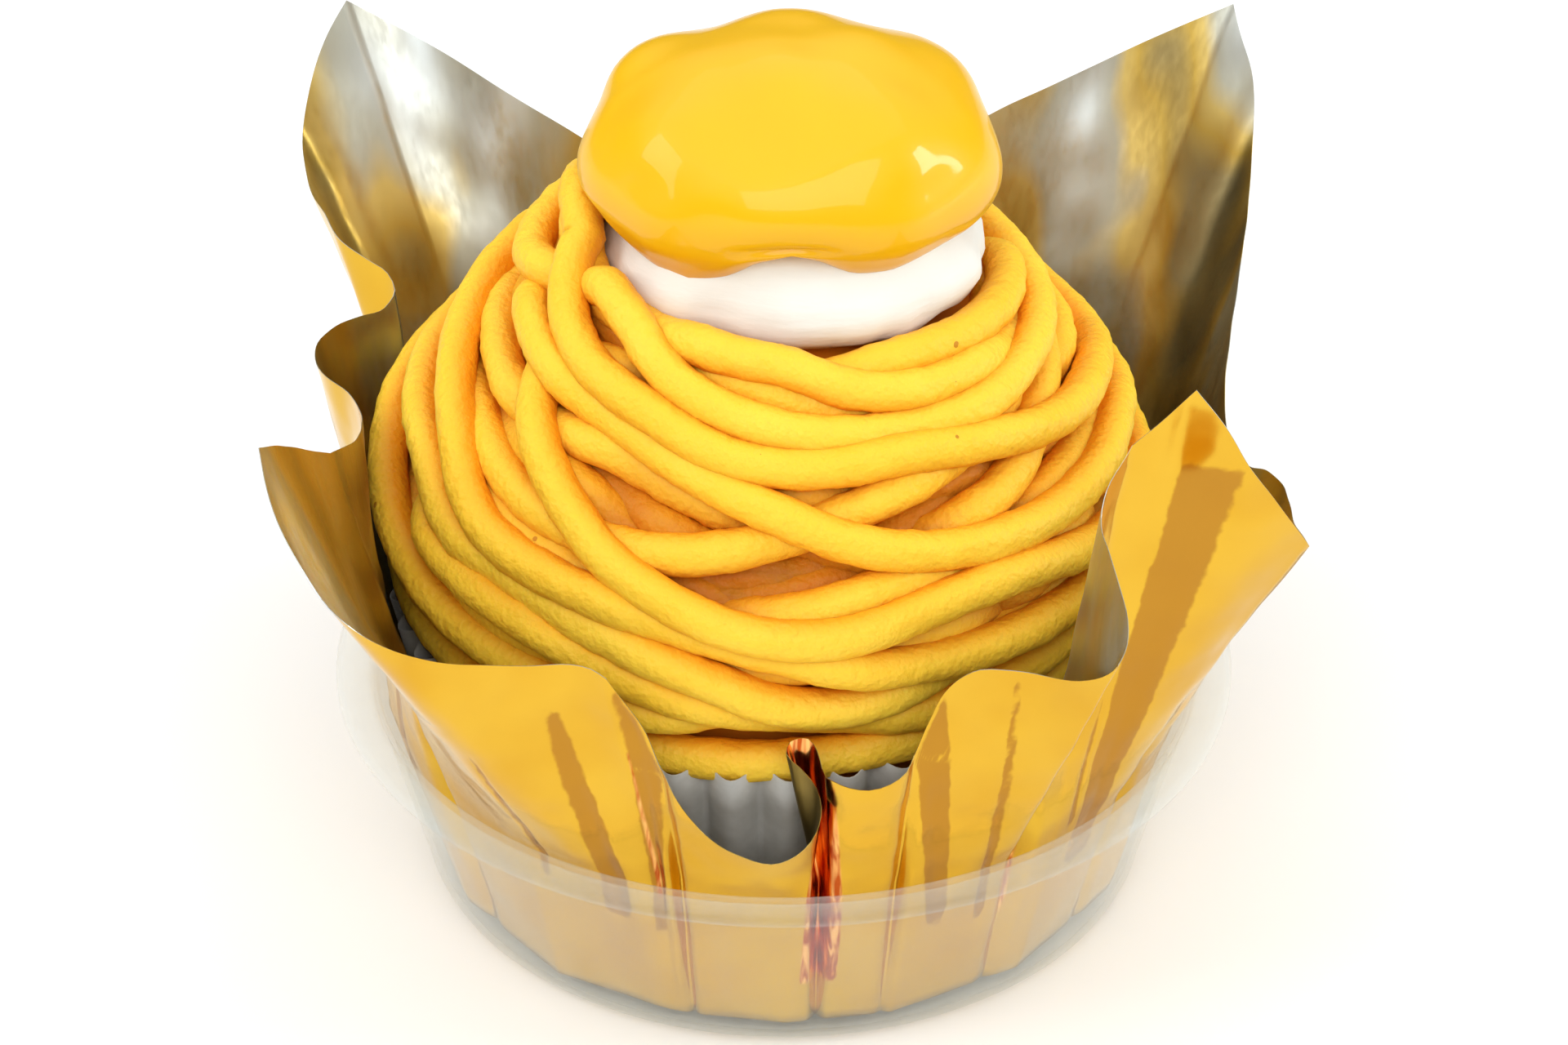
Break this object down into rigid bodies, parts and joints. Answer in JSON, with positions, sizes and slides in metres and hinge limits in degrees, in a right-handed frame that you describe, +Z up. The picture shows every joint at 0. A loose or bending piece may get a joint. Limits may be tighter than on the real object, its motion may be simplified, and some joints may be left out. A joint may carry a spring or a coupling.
{
  "type": "mont blanc cake",
  "caption": "Domed cake of piped chestnut cream strands with whipped cream and a glazed chestnut on top, in a fluted paper case, gold foil wrapper and clear cup.",
  "frame": {"origin": "middle of the cup's flat underside, on the surface that it stands on", "axes": "+Z up through the chestnut, -Y the front that the picture shows, +X to the right of the front"},
  "size_m": [0.0856, 0.0886, 0.0777],
  "materials": {
    "clear_cup": "clear thermoformed plastic",
    "foil_wrapper": "gold foil outside, plain silver inside",
    "paper_case": "translucent glassine",
    "chestnut_cream": "soft satin paste",
    "whipped_cream": "matt cream",
    "glazed_chestnut": "wet syrup glaze"
  },
  "bodies": {
    "root": {"clear_cup": "clear_cup", "foil_wrapper": "foil_wrapper", "paper_case": "paper_case", "chestnut_cream": "chestnut_cream", "whipped_cream": "whipped_cream", "glazed_chestnut": "glazed_chestnut"}
  },
  "joints": []
}
